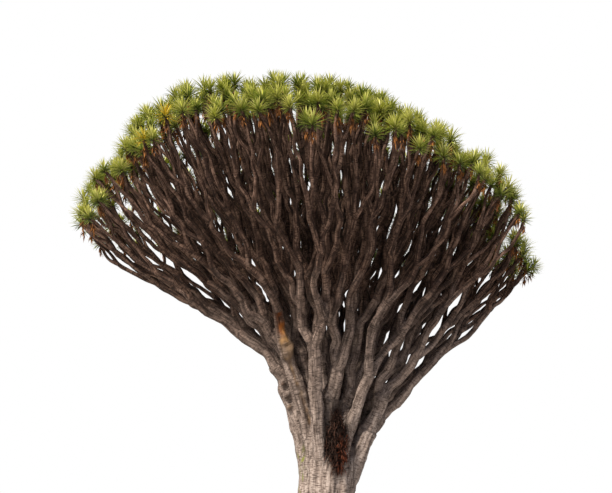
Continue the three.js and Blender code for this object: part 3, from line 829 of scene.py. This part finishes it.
rough_patch = field_noise(grain * ROUGH_STRETCH, ROUGH_SIZE)
from_axis = co - axis_at(height)
bearing = np.degrees(np.arctan2(from_axis[:, 1], from_axis[:, 0]))
in_cleft = np.exp(-((bearing_gap(bearing, CLEFT_AZIMUTH) / CLEFT_SHADE_ANGLE) ** 2))
in_cleft *= smoothstep(*CLEFT_SHADE_RISE, height)
below_top = 1 - smoothstep(*CLEFT_SHADE_TOP, height)
in_cleft *= below_top * (1 - smoothstep(*CLEFT_SHADE_EDGE, np.hypot(*from_axis[:, :2].T)))
mossy = smoothstep(*MOSS_SIDE, -from_axis[:, 0]) * smoothstep(*MOSS_RISE, height)
mossy *= 1 - smoothstep(*MOSS_TOP, height)
# painted shade in the valleys where boughs meet
lay_stain_and_shade("#33261f", VALLEY_PAINTED_SHADE * valley)
# painted shade darkening the cleft
lay_stain_and_shade("#2a1b14", CLEFT_PAINTED_SHADE * in_cleft)
lay_stain_and_shade("#8c9440", MOSS_DYE * mossy * smoothstep(*MOSS_PATCHES, rough_patch))
# this share holds the painted shade in the valleys and the cleft as well as the moss
print("dirt and moss on", round(float((stain_and_shade[:, 3] > STAIN_AND_SHADE_SHOWS).mean()), 3), "of the skin")

# %% Press and dye the scars
SCAR_STRETCH = [1, 1, 0.6]  # a scar is longer up the limb than across it
SCAR_FALL, SCAR_RAGGED = 1.2, 0.6
SCAR_DYE, DYE_MOTTLE = 1.5, 0.8
GROUND_FADE = 0.1  # the foot stays flat on the ground

bpy.context.view_layer.update()
for pixel, reach, push, colour, strength in SCARS:
    found, spot, _, _ = trunk_piece.ray_cast(EYE, sight_line(*pixel))
    if not found:
        continue
    away = np.linalg.norm((co - np.array(spot)) * SCAR_STRETCH, axis=1) / reach
    near = np.exp(-(away**2) * (SCAR_FALL + SCAR_RAGGED * rough_patch))
    relief += push * near
    lay_stain_and_shade(colour, strength * SCAR_DYE * near * (DYE_MOTTLE + DYE_MOTTLE * rough_patch))
relief *= smoothstep(0, GROUND_FADE, height)
co = co + normals * relief[:, None]
co[:, 2] = np.maximum(co[:, 2], 0)
skin_mesh.vertices.foreach_set("co", co.ravel())
skin_mesh.polygons.foreach_set("use_smooth", np.full(len(skin_mesh.polygons), True))
stain_and_shade_layer = skin_mesh.attributes.new("stain_and_shade", "FLOAT_COLOR", "POINT")
stain_and_shade_layer.data.foreach_set("color", stain_and_shade.ravel())
skin_mesh.update()
print("stained_and_shaded", round(float((stain_and_shade[:, 3] > STAIN_AND_SHADE_SHOWS).mean()), 3), "of the skin")

# %% [markdown]
# ## Branches
# Above the first forks the limbs become branches, hundreds of them. They are too many to melt
# together, so each one is a plain tube. Both branches of a fork start almost as thick as their parent
# ends, so the three of them meet with hardly a step, and slim down to their own girth within the first
# third. Where two tubes leave at a wide angle a wedge stays open between them and their parent, so each
# fork also gets a small ball. Branches are knobbly, as the ringed branches of this tree are.

# %% Branch tubes
KNOB_DEPTH, KNOB_SIZE = 0.1, 0.14
TUBE_ROOT, SKIN_ROOT = 0.97, 0.88  # a tube's first radius by its parent's, on a tube and in the skin
SLIM_RUN = 0.35
GRAIN_PLACES = 97  # tubes take their grain from this many places in turn


def branch_tube(branch, sides, spacing):
    """Vertices, faces, grain and centre line of one branch."""
    share, line = limb_line(branch, spacing)
    parent_in_skin = branch.parent.parent.parent is None
    root_radius = (SKIN_ROOT if parent_in_skin else TUBE_ROOT) * branch.parent.radius
    radii = root_radius + (branch.radius - root_radius) * smoothstep(0, SLIM_RUN, share)
    along = lengths_along(line)
    side, across = carried_frames(line)
    turns = 2 * np.pi * np.arange(sides) / sides
    spokes = side[:, None] * np.cos(turns)[None, :, None] + across[:, None] * np.sin(turns)[None, :, None]
    flat = np.stack([np.cos(turns), np.sin(turns)], axis=-1)
    grain = np.concatenate(
        [flat[None] * radii[:, None, None], np.repeat(along[:, None, None], sides, axis=1)], axis=2
    ).reshape(-1, 3) + [LIMB_SHIFT * (branch.number % GRAIN_PLACES), 0, 0]
    knobs = 1 + KNOB_DEPTH * field_noise(grain, KNOB_SIZE)
    vertices = line[:, None] + spokes * radii[:, None, None] * knobs.reshape(len(line), sides, 1)
    ring = np.arange(sides)
    quads = np.stack([ring, np.roll(ring, -1), np.roll(ring, -1) + sides, ring + sides], axis=-1)
    quads = (quads[None] + sides * np.arange(len(line) - 1)[:, None, None]).reshape(-1, 4)
    return vertices.reshape(-1, 3), quads, grain, line


def join_tubes(tubes):
    starts = np.cumsum([0] + [len(tube[0]) for tube in tubes[:-1]])
    vertices = np.concatenate([tube[0] for tube in tubes])
    quads = np.concatenate([tube[1] + start for tube, start in zip(tubes, starts)])
    grain = np.concatenate([tube[2] for tube in tubes])
    return vertices, quads, grain


# %% Main branches, side branches and branch ends
SLIM_TIPS = 3  # most tips that a side branch carries
TUBE_SPACING = 0.065

beyond_skin = [branch for branch in branches if branch.parent and branch.parent.parent]
thick = [branch for branch in beyond_skin if len(branch.tips) > SLIM_TIPS]
slim = [branch for branch in beyond_skin if 1 < len(branch.tips) <= SLIM_TIPS]
ends = [branch for branch in branches if len(branch.tips) == 1]
kinds = {  # branches, sides of a tube, bark
    "main_branches": (thick, 11, branch_bark),
    "side_branches": (slim, 8, branch_bark),
    "branch_ends": (ends, 7, twig_bark),
}
centre_lines = {}
for name, (members, sides, bark) in kinds.items():
    tubes = [branch_tube(branch, sides, TUBE_SPACING) for branch in members]
    vertices, quads, grain = join_tubes(tubes)
    piece = make_piece(name, vertices, [quads], bark, grain)
    centre_lines[name] = [tube[3] for tube in tubes]

# %% Knots that close the wedge at each fork
FORK_KNOT = 1.02
ball = bmesh.new()
bmesh.ops.create_icosphere(ball, subdivisions=2, radius=1)
ball.verts.index_update()
ball_points = np.array([vertex.co for vertex in ball.verts])
ball_faces = np.array([[vertex.index for vertex in face.verts] for face in ball.faces])
ball.free()
forked = thick + slim
knots = FORK_KNOT * np.array([branch.radius for branch in forked])[:, None, None] * ball_points
fork_points = np.array([branch.points(np.ones(1))[0] for branch in forked])
vertices = (knots + fork_points[:, None]).reshape(-1, 3)
faces = ball_faces + len(ball_points) * np.arange(len(forked))[:, None, None]
knot_piece = make_piece("fork_knots", vertices, [faces.reshape(-1, 3)], branch_bark, knots.reshape(-1, 3))

# %% [markdown]
# ## Leaves
# Every branch end carries a rosette of some sixty sword leaves that point in all directions of a half
# ball and a little below it. One leaf is a folded blade of six triangles, widest at its middle and
# drawn out to a point. All blades are worked out together as arrays, because tens of thousands of
# separate objects would be slow. Old leaves dry to an orange brown and hang below.

# %% Leaf materials
LEAF_IOR = 1.45
LEAF_FOOT = 0.7  # share of its length over which a leaf turns from the painted shade at its foot to its own colour
WAXY, YELLOWING, DRY, ROTTEN = 0.38, 0.5, 0.8, 0.95  # roughness of leaves, from fresh to dead


def leaf_material(name, shade, colour, tint, roughness):
    """A smooth leathery leaf, darkened towards its foot as painted shade. Its colour differs a little from
    leaf to leaf.
    """
    material, tree, shader = new_material(name)
    grain = add(tree, "ShaderNodeAttribute", attribute_name="grain").outputs["Vector"]
    along, luck, _ = add(tree, "ShaderNodeSeparateXYZ", {0: grain}).outputs
    inputs = {"Factor": luck, "A": linear(colour), "B": linear(tint)}
    upper = add(tree, "ShaderNodeMix", inputs, data_type="RGBA").outputs["Result"]
    lit = add(tree, "ShaderNodeMapRange", {"Value": along, "From Max": LEAF_FOOT}).outputs["Result"]
    inputs = {"Factor": lit, "A": linear(shade), "B": upper}
    whole = add(tree, "ShaderNodeMix", inputs, data_type="RGBA").outputs["Result"]
    tree.links.new(whole, shader.inputs["Base Color"])
    shader.inputs["Roughness"].default_value = roughness
    shader.inputs["IOR"].default_value = LEAF_IOR
    return material


# The deep tone is a shaded copy of the green one and the sunlit tone a lit copy. They are dealt out partly
# at random and partly as painted light and shade, lighter towards the top of each rosette.
leaf_tones = {
    "deep_leaves": leaf_material("sword_leaf_shaded_deep", "#2b3718", "#4c6224", "#83963e", WAXY),
    "green_leaves": leaf_material("sword_leaf_green", "#485622", "#8ca038", "#c2cc60", WAXY),
    "sunlit_leaves": leaf_material("sword_leaf_sunlit", "#6a702a", "#c0c64c", "#eae88e", WAXY),
    "yellow_leaves": leaf_material("sword_leaf_yellow", "#a08a20", "#e2bc20", "#f2d640", YELLOWING),
}
# Dry leaves and litter get the same painted shade at their foot
dry_leaf = leaf_material("dry_leaf", "#3c2618", "#5c3a24", "#b27438", DRY)
print(len(leaf_tones), "tones of fresh leaves and one of dry ones")

# %% Blades
BLADE_ROWS = np.array([0.0, 0.5, 1.0])
BLADE_WIDTHS = np.array([0.8, 1.0, 0.0])
BLADE_FOLD = 0.2  # depth of the fold, as a share of the width
BLADE_POINTS = 7
BLADE_QUADS = np.array([[0, 1, 4, 3], [1, 2, 5, 4]])
BLADE_TIP = np.array([[3, 4, 6], [4, 5, 6]])
HARDLY = 1e-6  # keeps an upright blade's cross product from being nothing


def blades(root, heading, length, width, droop):
    """Vertices, faces and grain of many folded blades. Each bends down by its droop, in radians."""
    count = len(root)
    level = unit(np.cross(heading, [0.0, 0.0, 1.0]) + HARDLY)
    upper = np.cross(level, heading)
    rows = []
    for row, share in zip(BLADE_WIDTHS, BLADE_ROWS):
        bend = droop[:, None] * share / 2
        middle = root + (heading * np.cos(bend) - upper * np.sin(bend)) * (length * share)[:, None]
        half = level * (width * row / 2)[:, None]
        if row:
            valley = middle - upper * (BLADE_FOLD * width * row)[:, None]
            rows += [middle - half, valley, middle + half]
        else:
            rows.append(middle)
    vertices = np.stack(rows, axis=1)
    start = BLADE_POINTS * np.arange(count)[:, None, None]
    faces = [(BLADE_QUADS[None] + start).reshape(-1, 4), (BLADE_TIP[None] + start).reshape(-1, 3)]
    grain = np.zeros((count, BLADE_POINTS, 3))
    grain[:, :, 0] = np.repeat(BLADE_ROWS, [3, 3, 1])
    grain[:, :, 1] = chance(np.arange(count), 51)[:, None]
    return vertices.reshape(-1, 3), faces, grain.reshape(-1, 3)


def around(axis, azimuth, polar):
    """Unit vectors at a polar angle from an axis, turned by an azimuth round it."""
    side = unit(np.cross(axis, [0.3, 1.0, 0.1]))
    across = np.cross(axis, side)
    flat = side * np.cos(azimuth)[:, None] + across * np.sin(azimuth)[:, None]
    return axis * np.cos(polar)[:, None] + flat * np.sin(polar)[:, None]


# %% Leaves of the rosettes, in metres, degrees and radians
LEAVES = 64
LEAF_LENGTH, LEAF_LENGTH_SCATTER = 0.26, 0.12
LEAST_LENGTH, MORE_LENGTH, LONGEST_SHIFT = 0.82, 0.28, 0.15  # leaves half way down are the longest
LEAF_WIDTH = 0.023
LOWEST_POLAR = 98
TURN_SCATTER, POLAR_SCATTER, SIZE_SCATTER = 0.25, 0.14, 0.14
LEAF_DROOP, LOW_LEAF_DROOP, DROOP_SCATTER = 0.1, 0.45, 0.15
ROSETTE_STEM, ROSETTE_LIFT = 0.08, 0.03
UPRIGHT = 0.55  # how far a rosette turns from its branch to the vertical

end_lines = centre_lines["branch_ends"]
tip_points = np.array([line[-1] for line in end_lines])
tip_axes = unit(np.array([line[-1] - line[-3] for line in end_lines]))
tip_axes = unit(tip_axes * (1 - UPRIGHT) + np.array([0, 0, UPRIGHT]))
rosettes = np.arange(len(ends))
leaf = np.tile(np.arange(LEAVES), len(ends))
rosette = np.repeat(rosettes, LEAVES)
luck = rosette * LEAVES + leaf
size = 1 + scatter(rosettes, 17, SIZE_SCATTER)
turn = np.radians(leaf * GOLDEN_ANGLE + 360 * chance(rosette, 11)) + scatter(luck, 12, TURN_SCATTER)
rank = (leaf + 0.5) / LEAVES
polar = np.arccos(1 - rank * (1 - math.cos(math.radians(LOWEST_POLAR))))
heading = around(tip_axes[rosette], turn, polar + scatter(luck, 13, POLAR_SCATTER))
root = tip_points[rosette] + tip_axes[rosette] * (ROSETTE_LIFT - ROSETTE_STEM * rank)[:, None]
swell = LEAST_LENGTH + MORE_LENGTH * np.sin(np.pi * np.clip(rank + LONGEST_SHIFT, 0, 1))
length = LEAF_LENGTH * swell * (1 + scatter(luck, 14, LEAF_LENGTH_SCATTER)) * size[rosette]
droop = LEAF_DROOP + LOW_LEAF_DROOP * rank + scatter(luck, 15, DROOP_SCATTER)
print(len(luck), "leaves in", len(ends), "rosettes")

# %% Tones of the leaves
DULLEST, TONE_SPREAD = 0.1, 0.45  # of whole rosettes
TOP_TONE, TONE_FALL, TONE_SCATTER = 0.5, 0.75, 0.2  # of leaves, from the top of a rosette down: lower leaves get darker tones as painted shade
TONE_STEPS = [0.2, 0.5]  # between the shaded deep and green tones, and between green and sunlit
YELLOWED, YELLOW_SHARE = [(167, 124), (145, 136)], 0.6  # pixels where leaves have turned yellow
NEARER = 0.1  # of two rosettes on a line of sight the nearer one turns

mass_nodes = [name for name in frame["nodes"] if "foliage" in name]
tone = DULLEST + TONE_SPREAD * chance(rosettes, 16)
tone = tone[rosette] + TOP_TONE - TONE_FALL * rank + scatter(luck, 18, TONE_SCATTER)
tones = np.digitize(tone, TONE_STEPS)
for pixel in YELLOWED:
    line = np.array(sight_line(*pixel))
    from_eye = tip_points - np.array(EYE)
    along = from_eye @ line
    aside = np.linalg.norm(from_eye - np.outer(along, line), axis=1)
    nearest = np.argmin(aside + NEARER * along)
    tones[(rosette == nearest) & (chance(luck, 19) < YELLOW_SHARE)] = len(leaf_tones) - 1
for index, name in enumerate(leaf_tones):
    mine = tones == index
    width = np.full(mine.sum(), LEAF_WIDTH)
    vertices, faces, grain = blades(root[mine], heading[mine], length[mine], width, droop[mine])
    piece = make_piece(name, vertices, faces, leaf_tones[name], grain, smooth=False)
    if name == "green_leaves":
        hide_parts(*mass_nodes)

# %% Dry leaves under the rosettes
DRY_LEAVES = 22
DRY_POLAR, DRY_POLAR_SPREAD = 105, 60
DRY_TOP, DRY_SPREAD = 0.1, 0.13  # how far below the tip they hang on
DRY_LENGTH, DRY_LENGTH_SPREAD, DRY_WIDTH = 0.07, 0.12, 0.022
DRY_DROOP, DRY_DROOP_SPREAD = 0.5, 0.6

leaf = np.tile(np.arange(DRY_LEAVES), len(ends))
rosette = np.repeat(rosettes, DRY_LEAVES)
luck = rosette * DRY_LEAVES + leaf
turn = np.radians(leaf * GOLDEN_ANGLE + 360 * chance(rosette, 21))
polar = np.radians(DRY_POLAR + DRY_POLAR_SPREAD * chance(luck, 22))
heading = around(tip_axes[rosette], turn, polar)
root = tip_points[rosette] - tip_axes[rosette] * (DRY_TOP + DRY_SPREAD * chance(luck, 23))[:, None]
length = DRY_LENGTH + DRY_LENGTH_SPREAD * chance(luck, 24)
droop = DRY_DROOP + DRY_DROOP_SPREAD * chance(luck, 25)
vertices, faces, grain = blades(root, heading, length, np.full(len(root), DRY_WIDTH), droop)
dry_piece = make_piece("dry_leaves", vertices, faces, dry_leaf, grain, smooth=False)

# %% [markdown]
# ## Litter in the cleft
# Dead leaves fall into the cleft between two boughs and rot to red-brown fibres. They are narrow
# blades, scattered through the lump that the solid holds there.

# %% Cleft litter
LITTER_STRANDS = 1500
LITTER_FILL, LITTER_CROWDING = [0.95, 0.95, 0.9], 0.35  # share of the lump, and strands near its skin
STRAND_LEAN, STRAND_FORWARD = 0.6, 0.35
STRAND_LENGTH, STRAND_LENGTH_SPREAD = 0.08, 0.16
STRAND_WIDTH, STRAND_WIDTH_SPREAD = 0.012, 0.014
STRAND_DROOP = 1.2
FRESH_SIDE = 0.1

litter_low, litter_high = (np.array(corner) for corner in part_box("cleft_litter"))
strand = np.arange(LITTER_STRANDS)
middle, reach = (litter_low + litter_high) / 2, (litter_high - litter_low) / 2
spot = directions(360 * chance(strand, 31), 180 * chance(strand, 32))
spot = spot * (chance(strand, 33) ** LITTER_CROWDING)[:, None]
root = middle + spot * reach * LITTER_FILL
sideways, forward = scatter(strand, 34, STRAND_LEAN), scatter(strand, 35, STRAND_LEAN) - STRAND_FORWARD
heading = unit(np.stack([sideways, forward, scatter(strand, 36, 1)], axis=-1))
length = STRAND_LENGTH + STRAND_LENGTH_SPREAD * chance(strand, 37)
width = STRAND_WIDTH + STRAND_WIDTH_SPREAD * chance(strand, 38)
droop = STRAND_DROOP * chance(strand, 39)
# The lower right is redder and less rotten
fresh = (spot[:, 0] > FRESH_SIDE) & (spot[:, 2] < FRESH_SIDE)
litter_tones = {
    "rotten_fibres": leaf_material("rotten_leaf_fibre", "#18100d", "#261813", "#4a2c20", ROTTEN),
    "cleft_fibres": leaf_material("dead_leaf_fibre", "#20120d", "#3c2015", "#82432a", ROTTEN),
}
for name, mine in (("rotten_fibres", ~fresh), ("cleft_fibres", fresh)):
    vertices, faces, grain = blades(root[mine], heading[mine], length[mine], width[mine], droop[mine])
    litter_piece = make_piece(name, vertices, faces, litter_tones[name], grain, smooth=False)
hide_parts("cleft_litter")

# %% [markdown]
# ## Light and floor
# The tree stands on a plain pale floor in soft daylight. A broad sun from the upper left in front
# lights the trunk and the top of the crown, and a weak bluish sky fills the shade. The camera sees the
# sky as plain white.

# %% Floor
FLOOR_HALF_SIDE = 60
FLOOR_ROUGHNESS = 0.9

floor_shape = bmesh.new()
bmesh.ops.create_grid(floor_shape, x_segments=1, y_segments=1, size=FLOOR_HALF_SIDE)
floor_mesh = bpy.data.meshes.new("floor")
floor_shape.to_mesh(floor_mesh)
floor_shape.free()
floor_paint, _, floor_shader = new_material("matt_floor_paint")
floor_shader.inputs["Base Color"].default_value = linear("#c9c6c0")
floor_shader.inputs["Roughness"].default_value = FLOOR_ROUGHNESS
floor_mesh.materials.append(floor_paint)
floor = bpy.data.objects.new("floor", floor_mesh)
bpy.context.collection.objects.link(floor)
print("floor", 2 * FLOOR_HALF_SIDE, "m wide")

# %% Light
SUN_STRENGTH, SUN_WIDTH = 5.6, math.radians(12)
SUN_HEADING = Vector((0.48, 0.68, -0.72))
SKY_STRENGTH = 0.31

sun_data = bpy.data.lights.new("sun", "SUN")
sun_data.energy = SUN_STRENGTH
sun_data.angle = SUN_WIDTH
sun_data.color = linear("#fff4e2")[:3]
sun = bpy.data.objects.new("sun", sun_data)
sun.rotation_euler = SUN_HEADING.to_track_quat("-Z", "Y").to_euler()
bpy.context.collection.objects.link(sun)

world = bpy.data.worlds.new("daylight")
bpy.context.scene.world = world
world.use_nodes = True
sky = world.node_tree
seen = add(sky, "ShaderNodeLightPath").outputs["Is Camera Ray"]
fill = add(sky, "ShaderNodeBackground", {"Color": linear("#e0e9ff"), "Strength": SKY_STRENGTH})
white = add(sky, "ShaderNodeBackground", {"Color": linear("#ffffff"), "Strength": 1})
both = add(sky, "ShaderNodeMixShader", {0: seen, 1: fill.outputs[0], 2: white.outputs[0]})
sky.links.new(both.outputs[0], sky.nodes["World Output"].inputs["Surface"])
bpy.context.scene.view_settings.view_transform = "Standard"
print("sun of", SUN_STRENGTH, "and sky of", SKY_STRENGTH)
